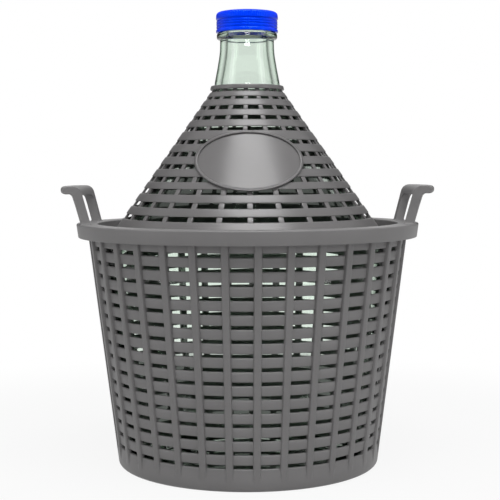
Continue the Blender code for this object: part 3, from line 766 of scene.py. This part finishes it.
def build_handle(name, side, material):
    """Sweep the outline round the rim, with a finger gap that has round upper corners."""
    middle_radius = HANDLE_INNER_RADIUS + HANDLE_THICKNESS / 2
    bar = [point for point in handle_outline() if point[1] > HANDLE_WINDOW_LEVEL]
    bm = bmesh.new()

    def vertex(radius, level, distance):
        angle = side + distance / middle_radius
        return bm.verts.new((radius * math.cos(angle), radius * math.sin(angle), level))

    def inner_vertex(level, distance):
        return vertex(handle_inner(level) - handle_flare(level), level, distance)

    def outer_vertex(level, distance):
        radius = handle_inner(level) + HANDLE_THICKNESS + handle_flare(level)
        return vertex(radius, level, distance)

    columns = []
    for distance, drop in handle_stations():
        level = HANDLE_WINDOW_LEVEL - drop
        column = [inner_vertex(level, distance)]
        column += [vertex(radius, height, distance) for radius, height in bar]
        column.append(outer_vertex(level, distance))
        columns.append(column)
    for first, second in zip(columns, columns[1:]):
        bridge(bm, first, second, closed=False)
    for first, second in zip(columns[1:-2], columns[2:-1]):
        bm.faces.new((first[0], first[-1], second[-1], second[0]))

    corner_level = HANDLE_WINDOW_LEVEL - HANDLE_WINDOW_RADIUS
    leg_levels = [HANDLE_ROOT_LEVEL, LEDGE_LEVEL]
    leg_levels += [LEDGE_LEVEL + HANDLE_FLARE * share for share in HANDLE_FLARE_SHARES]
    for sign, end, beside in ((-1, columns[0], columns[1]), (1, columns[-1], columns[-2])):
        loops = []
        for level in leg_levels:
            near = sign * (HANDLE_GAP_HALF_LENGTH - handle_flare(level))
            far = sign * (HANDLE_HALF_LENGTH + handle_flare(level))
            loops.append([
                inner_vertex(level, far), inner_vertex(level, near),
                outer_vertex(level, near), outer_vertex(level, far)])
        inner_corner = inner_vertex(corner_level, sign * HANDLE_HALF_LENGTH)
        outer_corner = outer_vertex(corner_level, sign * HANDLE_HALF_LENGTH)
        loops.append([inner_corner, beside[0], beside[-1], outer_corner])
        bm.faces.new(loops[0])
        for low, high in zip(loops, loops[1:]):
            bridge(bm, low, high)
        bm.faces.new((inner_corner, end[0], beside[0]))
        bm.faces.new((outer_corner, beside[-1], end[-1]))
        bm.faces.new([inner_corner, outer_corner] + end[::-1])
    piece = finish_bmesh(name, bm, material, 50)
    bevel = piece.modifiers.new("soft_edges", "BEVEL")
    bevel.width = HANDLE_BEVEL
    bevel.segments = 3
    bevel.angle_limit = math.radians(48)
    bevel.use_clamp_overlap = True
    return piece


# Cone cover

def cone_line(level):
    return CONE_BASE_RADIUS + CONE_SLOPE * (level - COVER_BASE_LEVEL)


class Zone:
    """One zone of the cone: its rows of slots, and the lines of its ribs and bays."""

    def __init__(self, count, phase, width, interior, rows):
        self.count = count
        self.phase = phase
        self.width = width
        self.interior = interior
        self.rows = rows
        self.rib_sectors, self.edge_lines = wall_sectors(count, COVER_RIB_LINES, interior)

    def lines(self, level):
        half_angle = self.width / 2 / cone_line(level)
        return bay_lines(self.count, half_angle, COVER_RIB_LINES, self.interior, self.phase)


def cover_flange_outline():
    """From the inside of the base round the flange and up onto the cone."""
    return rounded([
        (cone_line(COVER_BASE_LEVEL) - COVER_WALL_THICKNESS, COVER_BASE_LEVEL, 0),
        (FLANGE_RADIUS, COVER_BASE_LEVEL, 0.7 * MM),
        (FLANGE_RADIUS, FLANGE_TOP_LEVEL, 0.9 * MM),
        (cone_line(FLANGE_TOP_LEVEL), FLANGE_TOP_LEVEL, 1.5 * MM),
        (cone_line(CONE_START_LEVEL), CONE_START_LEVEL, 0),
    ])


def cover_collar_outline():
    """From the top row of slots round the collar and down into its hole."""
    return rounded([
        (cone_line(COLLAR_SLOT_HIGH) - RIB_RECESS, COLLAR_SLOT_HIGH, 0),
        (COLLAR_RADIUS, COLLAR_SLOT_HIGH, 0.7 * MM),
        (COLLAR_TOP_RADIUS, COLLAR_TOP_LEVEL, 1.6 * MM),
        (COLLAR_HOLE_RADIUS, COLLAR_TOP_LEVEL, 0.7 * MM),
        (COLLAR_HOLE_RADIUS, COLLAR_SLOT_HIGH + COLLAR_HOLE_MARGIN, 0),
    ])


def build_cover(material):
    """One skin: flange, banded outside with recessed ribs, collar, and slotted inside."""
    skin = Skin()
    collar_row = ((COLLAR_SLOT_LOW + COLLAR_SLOT_HIGH) / 2, COLLAR_SLOT_HIGH - COLLAR_SLOT_LOW)
    middle_phase = COVER_TURN + math.pi / MIDDLE_RIB_COUNT
    zones = [
        Zone(LOW_RIB_COUNT, COVER_TURN, LOW_RIB_WIDTH, LOW_BAY_LINES, LOW_ROWS),
        Zone(MIDDLE_RIB_COUNT, middle_phase, MIDDLE_RIB_WIDTH, MIDDLE_BAY_LINES, MIDDLE_ROWS),
        Zone(HIGH_RIB_COUNT, HIGH_RIB_PHASE, HIGH_RIB_WIDTH, HIGH_BAY_LINES, HIGH_ROWS + [collar_row]),
    ]
    rows = [(middle, height, zone) for zone in zones for middle, height in zone.rows]

    def grow(ring, following, zone, last_zone):
        """Run the skin on to the next ring, and stitch it where the zone changes."""
        if zone is last_zone:
            return skin.extend(ring, following)
        skin.stitch(ring, following)
        return following

    def outer_ring(zone, level, lip):
        return skin.ring(cone_line(level) - lip * MM, zone.lines(level)[0], level)

    def recess_ring(zone, level):
        angles, heights = zone.lines(level)
        radii = cone_line(level) - RIB_RECESS - (1 - heights) * RIB_EDGE_DROP
        return skin.ring(radii, angles, level)

    def inner_ring(zone, level):
        radius = max(cone_line(level) - COVER_WALL_THICKNESS, COLLAR_HOLE_RADIUS)
        return skin.ring(radius, zone.lines(level)[0], level)

    flange = cover_flange_outline()
    base_angles = zones[0].lines(COVER_BASE_LEVEL)[0]
    start = skin.ring(flange[0][0], base_angles, flange[0][1])
    ring = skin.follow(start, base_angles, flange[1:])

    slots = []
    last_zone = zones[0]
    for middle, height, zone in rows:
        low = middle - height / 2
        high = middle + height / 2
        for rise, lip in COVER_LIP_STEPS:
            ring = grow(ring, outer_ring(zone, low - rise * MM, lip), zone, last_zone)
            last_zone = zone
        below = skin.extend(ring, recess_ring(zone, low + SLOT_LIP))
        ring = recess_ring(zone, high - SLOT_LIP)
        skin.strip(below, ring, zone.rib_sectors)
        slots.append((low, high, zone, below, ring))
        # The collar closes the top row
        if middle < COLLAR_SLOT_LOW:
            for rise, lip in reversed(COVER_LIP_STEPS):
                ring = skin.extend(ring, outer_ring(zone, high + rise * MM, lip))

    top_angles = last_zone.lines(COLLAR_SLOT_HIGH)[0]
    ring = skin.follow(ring, top_angles, cover_collar_outline()[1:])
    for low, high, zone, outer_low, outer_high in reversed(slots):
        inner_high = grow(ring, inner_ring(zone, high - SLOT_LIP), zone, last_zone)
        last_zone = zone
        inner_low = inner_ring(zone, low + SLOT_LIP)
        skin.slot_row(outer_low, outer_high, inner_low, inner_high, zone.rib_sectors, zone.edge_lines)
        ring = skin.extend(inner_low, inner_ring(zone, low - BAND_INNER_DROP))
    skin.strip(ring, start)
    return skin.build("cone_shell", material, 50)


def build_plaque(material):
    """A bare oval shield that follows the cone, with a half-round bead along its edge."""
    bead_share = 1 - PLAQUE_BEAD_WIDTH / PLAQUE_HALF_HEIGHT
    face_shares = [bead_share * step / PLAQUE_LOOPS for step in range(1, PLAQUE_LOOPS + 1)]
    stations = [(share, PLAQUE_RISE) for share in face_shares]
    for step in range(1, PLAQUE_BEAD_STEPS + 1):
        turn = math.pi * step / PLAQUE_BEAD_STEPS
        share = bead_share + (1 - bead_share) * (1 - math.cos(turn)) / 2
        stations.append((share, PLAQUE_RISE + PLAQUE_BEAD_RISE * math.sin(turn)))
    stations.append((PLAQUE_EDGE_SHARES[0], PLAQUE_RISE - PLAQUE_EDGE_HEIGHT))
    stations.append((PLAQUE_EDGE_SHARES[1], PLAQUE_ROOT))
    stations += [(share, PLAQUE_ROOT) for share in reversed(face_shares)]
    bm = bmesh.new()

    def vertex(share, rise, turn):
        level = PLAQUE_LEVEL + PLAQUE_HALF_HEIGHT * share * math.sin(turn)
        radius = cone_line(level) + rise
        angle = math.asin(PLAQUE_HALF_WIDTH * share * math.cos(turn) / radius) + COVER_TURN
        return bm.verts.new((radius * math.sin(angle), -radius * math.cos(angle), level))

    turns = even_angles(PLAQUE_POINTS)
    loops = [[vertex(share, rise, turn) for turn in turns] for share, rise in stations]
    for first, second in zip(loops, loops[1:]):
        bridge(bm, first, second)
    for loop, rise in ((loops[0], PLAQUE_RISE), (loops[-1], PLAQUE_ROOT)):
        centre = vertex(0, rise, 0)
        for here, after in zip(loop, loop[1:] + loop[:1]):
            bm.faces.new((here, after, centre))
    return finish_bmesh("oval_plaque", bm, material, 55)


# Bottle

def bottle_outer_outline():
    """From the middle of the raised bottom round the body, neck and bead to the bore."""
    return rounded([
        (0, PUNT_LEVEL, 0),
        (*PUNT_EDGE, 12 * MM),
        (STANDING_RING_RADIUS, BOTTLE_FOOT_LEVEL, 6 * MM),
        (HEEL_RADIUS, BOTTLE_FOOT_LEVEL, 34 * MM),
        (*BODY_TOP, 55 * MM),
        (*NECK_ROOT, 14 * MM),
        *NECK_BENDS,
        (NECK_TOP_RADIUS, BEAD_FOOT_LEVEL, 1.5 * MM),
        (BEAD_RADIUS, BEAD_FOOT_LEVEL + 0.4 * MM, 2.6 * MM),
        (BEAD_RADIUS, BEAD_TOP_LEVEL, 2.4 * MM),
        (FINISH_RADIUS, BEAD_TOP_LEVEL, 0.8 * MM),
        (FINISH_RADIUS, MOUTH_LEVEL, 1.4 * MM),
        (BORE_RADIUS, MOUTH_LEVEL, 1.6 * MM),
    ], 12)


def glass_thickness(level):
    """The wall is thickest round the shoulder, and thicker again in the neck."""
    shoulder = max(1 - ((level - SHOULDER_LEVEL) / SHOULDER_REACH) ** 2, 0)
    shoulder *= 1 - smoothstep(*SHOULDER_END_LEVELS, level)
    neck = smoothstep(*NECK_EXTRA_LEVELS, level)
    return GLASS_THICKNESS + SHOULDER_EXTRA * shoulder + NECK_EXTRA * neck


def bottle_inner_outline():
    """From the mouth down the bore and along the inside of the wall to the raised bottom."""
    foot, top = WALL_LEVELS
    wall = [point for point in bottle_outer_outline() if foot < point[1] < top]
    wall_radii, wall_levels = zip(*wall)
    inside = []
    for level in np.arange(BORE_FOOT_LEVEL, INNER_HEEL_LEVEL, -INNER_STEP):
        radius = float(np.interp(level, wall_levels, wall_radii)) - glass_thickness(level)
        inside.append((max(radius, BORE_RADIUS), float(level)))
    bottom = rounded([(*inside[-1], 0), *INNER_BOTTOM], 8)
    return [(BORE_RADIUS, MOUTH_LEVEL)] + inside + bottom[1:]


def build_bottle(material):
    outline = bottle_outer_outline() + bottle_inner_outline()[1:]
    return turned("glass_body", outline, BOTTLE_SEGMENTS, material, 60)


# Across the thread: the share of its half height, and the share of its rise
THREAD_PROFILE = [(-1, 0), (-0.55, 0.75), (0, 1), (0.55, 0.75), (1, 0)]


def build_thread(material):
    """The raised thread on the finish: a ridge that fades at both ends."""
    bm = bmesh.new()
    root = FINISH_RADIUS - THREAD_SINK
    start_level = BEAD_TOP_LEVEL + THREAD_START_RISE
    rows = []
    for step in range(THREAD_STEPS + 1):
        share = step / THREAD_STEPS
        angle = FULL_TURN * THREAD_TURNS * share
        fade = smoothstep(0, THREAD_FADE_SHARE, share) * smoothstep(0, THREAD_FADE_SHARE, 1 - share)
        fade = max(fade, THREAD_END_SHARE)
        centre = start_level + THREAD_LEAD * THREAD_TURNS * share
        section = [
            (root + (THREAD_RADIUS - root) * height * fade, centre + offset * THREAD_HALF_HEIGHT * fade)
            for offset, height in THREAD_PROFILE]
        section.append((root - THREAD_SINK, centre))
        rows.append([
            bm.verts.new((radius * math.cos(angle), radius * math.sin(angle), level))
            for radius, level in section])
    for first, second in zip(rows, rows[1:]):
        bridge(bm, first, second)
    bm.faces.new(rows[0])
    bm.faces.new(rows[-1])
    return finish_bmesh("finish_thread", bm, material, 60)


# Closure

# Rings round the skirt: rise above the lip and depth below the widest radius, in millimetres
SKIRT_RINGS = [
    (2.5, 0.2), (2.8, 0.5), (3.5, 0.75), (4.2, 0.6), (4.5, 0.45), (5.3, 0.35), (6.1, 0.45),
    (6.4, 0.6), (6.8, 0.75), (7.2, 0.6), (7.5, 0.45), (8.2, 0.35), (8.9, 0.45), (9.1, 0.6),
    (9.5, 0.6), (9.7, 0.45), (10.4, 0.35), (11.0, 0.45), (11.3, 0.7), (11.9, 0.9),
    (12.5, 0.65), (12.8, 0.2), (13.1, 0.0),
]


def build_cap(material):
    """The cap: an open cup with ringed skirt and a knurled shoulder."""
    skin = Skin()
    angles = even_angles(KNURL_COUNT * 4)
    ridge = 0.5 - 0.5 * np.cos(angles * KNURL_COUNT)
    lip = CAP_LOW.z
    crown = CAP_HIGH.z
    ceiling = LINER_HIGH.z + CLOSURE_GAP
    inside = rounded([
        (AXIS_RADIUS, ceiling, 0),
        (CAP_INNER_RADIUS, ceiling, 0.8 * MM),
        (CAP_INNER_RADIUS, lip, 0.4 * MM),
        (CAP_RADIUS, lip, 0.5 * MM),
        (CAP_RADIUS, lip + 2.2 * MM, 0),
    ])
    shoulder = rounded([
        (CAP_RADIUS, lip + CAP_SHOULDER_RISE, 0),
        (CAP_RADIUS - 0.4 * MM, crown - 1.6 * MM, 5.4 * MM),
        (CAP_RADIUS - 11 * MM, crown - 0.15 * MM, 6 * MM),
        (AXIS_RADIUS, crown, 0),
    ], 9)
    start = skin.ring(inside[0][0], angles, ceiling)
    ring = skin.follow(start, angles, inside[1:])
    ring = skin.follow(ring, angles, [
        (CAP_RADIUS - depth * MM, lip + rise * MM) for rise, depth in SKIRT_RINGS])
    for radius, level in shoulder:
        share = smoothstep(*KNURL_START_RISES, level - lip)
        share *= 1 - smoothstep(*KNURL_END_INSETS, CAP_RADIUS - radius)
        ring = skin.extend(ring, skin.ring(radius - KNURL_DEPTH * ridge * share, angles, level))
    skin.cap(start, (0, 0, ceiling))
    skin.cap(ring, (0, 0, crown))
    return skin.build("cap_shell", material, 60)


def build_stopper(material):
    """A cup with two sealing ridges and a flange that lies on the mouth."""
    low = STOPPER_LOW.z
    flange_level = MOUTH_LEVEL + CLOSURE_GAP
    floor_level = low + STOPPER_WALL
    return turned("stopper_cup", rounded([
        (0, low, 0),
        (PLUG_RADIUS - 0.8 * MM, low, 1.2 * MM),
        (PLUG_RADIUS, low + 2.2 * MM, 1 * MM),
        (PLUG_RADIUS - 0.4 * MM, low + 4.4 * MM, 0.8 * MM),
        (PLUG_RADIUS, low + 6.4 * MM, 0.8 * MM),
        (PLUG_RADIUS - 0.3 * MM, flange_level, 0.3 * MM),
        (STOPPER_HIGH.x, flange_level, 0.3 * MM),
        (STOPPER_HIGH.x, STOPPER_HIGH.z, 0.5 * MM),
        (PLUG_RADIUS - STOPPER_WALL, STOPPER_HIGH.z, 0.6 * MM),
        (PLUG_RADIUS - STOPPER_WALL - 0.8 * MM, floor_level, 0.8 * MM),
        (0, floor_level, 0),
    ]), CLOSURE_SEGMENTS, material)


def build_liner(material):
    return turned("liner_disc", rounded([
        (0, LINER_LOW.z, 0),
        (LINER_HIGH.x, LINER_LOW.z, 0.25 * MM),
        (LINER_HIGH.x, LINER_HIGH.z, 0.25 * MM),
        (0, LINER_HIGH.z, 0),
    ]), CLOSURE_SEGMENTS, material)


# Stage

def seen_through_glass(tree, path):
    """1 for a ray that comes straight through the glass, with no diffuse bounce before."""
    direct = tree.math("LESS_THAN", path["Diffuse Depth"], 0.5)
    return tree.math("MULTIPLY", path["Is Transmission Ray"], direct)


def floor_material():
    """A white floor with a soft shadow. Through the glass it shows painted shade near the object and far
    off, with a painted pool of light between.
    """
    material, tree, shader = new_material("studio_floor")
    tree.wire(shader, {
        "Base Color": (0.6, 0.6, 0.6, 1), "Roughness": 0.9, "Specular IOR Level": 0.1})
    length = tree.add("VectorMath", {0: tree.position()}, operation="LENGTH")
    distance = length.outputs["Value"]
    path = tree.add("LightPath").outputs
    through = seen_through_glass(tree, path)
    outside = tree.slope(distance, *SHADOW_SLOPE, SHADOW_SHARE, 1.0)
    seen = tree.math("MULTIPLY", path["Is Camera Ray"], outside)
    mirrored = tree.math("MULTIPLY", path["Is Glossy Ray"], MIRROR_STRENGTH)
    # Painted shade for rays through the glass, near the object and far off; the ring between stays white
    # as a painted pool of light.
    near = tree.slope(distance, *NEAR_SLOPE, NEAR_PAINTED_SHADE, 0.0)
    far = tree.slope(distance, *FAR_SLOPE, 0.0, FAR_PAINTED_SHADE)
    dim = tree.math("MULTIPLY", through, tree.math("MAXIMUM", near, far))
    glow = tree.add("Emission", {"Strength": tree.math("SUBTRACT", 1, dim)})
    share = tree.math("MAXIMUM", tree.math("MAXIMUM", seen, mirrored), through)
    tree.mix_surface(share, shader.outputs["BSDF"], glow.outputs["Emission"])
    return material


def build_floor():
    mesh = bpy.data.meshes.new("studio_floor")
    reach = FLOOR_HALF_SIZE
    mesh.from_pydata(
        [(-reach, -reach, 0), (reach, -reach, 0), (reach, reach, 0), (-reach, reach, 0)],
        [], [(0, 1, 2, 3)])
    mesh.materials.append(floor_material())
    floor = bpy.data.objects.new("studio_floor", mesh)
    bpy.context.scene.collection.objects.link(floor)


def build_world():
    """A room that the camera sees white.

    Through the glass it is dim to the sides and low down. Mirrored, it has a dark flag behind the
    object on each side.
    """
    world = bpy.data.worlds.new("studio")
    world.use_nodes = True
    bpy.context.scene.world = world
    tree = Nodes(world.node_tree)
    generated = tree.add("TexCoord").outputs["Generated"]
    direction = tree.add("SeparateXYZ", {"Vector": generated}).outputs
    path = tree.add("LightPath").outputs
    behind_glass = tree.math(
        "MULTIPLY",
        tree.slope(direction["Z"], *HORIZON_SLOPE, HORIZON_SHARE, GLASS_STRENGTH),
        tree.slope(direction["Y"], *SIDE_SLOPE, SIDE_SHARE, 1.0))
    flags = tree.math(
        "MULTIPLY",
        tree.slope(direction["Y"], *FLAG_DEPTH_SLOPE, 0.0, 1.0),
        tree.slope(tree.math("ABSOLUTE", direction["X"]), *FLAG_SIDE_SLOPE, 0.0, 1.0))
    mirrored = tree.slope(flags, 0.0, 1.0, MIRROR_STRENGTH, MIRROR_STRENGTH * FLAG_SHARE)
    strength = AMBIENT_STRENGTH
    for kind, brightness in (
            (path["Is Glossy Ray"], mirrored), (path["Is Camera Ray"], 1.0),
            (seen_through_glass(tree, path), behind_glass)):
        more = tree.math("SUBTRACT", brightness, strength)
        strength = tree.math("ADD", strength, tree.math("MULTIPLY", kind, more))
    tree.wire(tree.nodes["Background"], {"Color": (1, 1, 1, 1), "Strength": strength})


def add_softbox(name, position, width, height, power):
    """A rectangular lamp that faces the middle of the object."""
    light = bpy.data.lights.new(name, "AREA")
    light.shape = "RECTANGLE"
    light.size = width
    light.size_y = height
    light.energy = power
    lamp = bpy.data.objects.new(name, light)
    bpy.context.scene.collection.objects.link(lamp)
    lamp.location = position
    aim = LAMP_TARGET - Vector(position)
    lamp.rotation_euler = aim.to_track_quat("-Z", "Y").to_euler()


def build_lights():
    add_softbox("top_softbox", (0.1, -0.55, 1.75), 1.1, 1.1, 26)
    add_softbox("front_softbox", (0.05, -2.1, 0.74), 0.8, 0.12, 4)
    add_softbox("left_softbox", (-1.7, -0.9, 0.7), 0.6, 1.4, 5.5)
    add_softbox("right_softbox", (1.7, -0.9, 0.7), 0.6, 1.4, 5.5)


def build_camera():
    """The photograph's own viewpoint, fitted to the outline of the basket and the cone."""
    aside = 2.6 * MM
    distance = 1.2
    height = 0.2947
    pitch_down = math.radians(3.918)
    roll = math.radians(0.17)
    focal_pixels = 1197.2
    image_pixels = 500
    camera_data = bpy.data.cameras.new("camera")
    camera_data.sensor_width = 36
    camera_data.lens = camera_data.sensor_width * focal_pixels / image_pixels
    camera_data.clip_start = 0.01
    camera = bpy.data.objects.new("camera", camera_data)
    bpy.context.scene.collection.objects.link(camera)
    camera.location = (aside, -distance, height)
    camera.rotation_mode = "XYZ"
    camera.rotation_euler = (math.pi / 2 - pitch_down, roll, 0)
    bpy.context.scene.camera = camera


def place(piece, body, slot, *nodes):
    """Let a piece ride on its body, and replace the solids it stands for."""
    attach(piece, body)
    if nodes:
        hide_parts(*nodes)


def main():
    bpy.context.scene.view_settings.view_transform = "Standard"
    basket_material = basket_plastic()
    cover_material = cover_plastic()
    glass_material = pale_green_glass()
    place(build_basket(basket_material), "basket", "basket_plastic", "basket")
    place(build_handle("right_handle", 0, basket_material), "basket", "basket_plastic")
    place(build_handle("left_handle", math.pi, basket_material), "basket", "basket_plastic")
    place(build_cover(cover_material), "cover", "cover_plastic", "cone_cover")
    place(build_plaque(cover_material), "cover", "cover_plastic")
    place(build_bottle(glass_material), "bottle", "bottle_glass", "glass_bottle")
    place(build_thread(glass_material), "bottle", "bottle_glass")
    place(build_stopper(natural_plastic()), "stopper", "stopper_plastic", "inner_stopper")
    place(build_liner(liner_foam()), "liner", "liner_foam", "cap_liner")
    place(build_cap(cap_plastic()), "cap", "cap_plastic", "screw_cap")
    build_floor()
    build_world()
    build_lights()
    build_camera()


main()
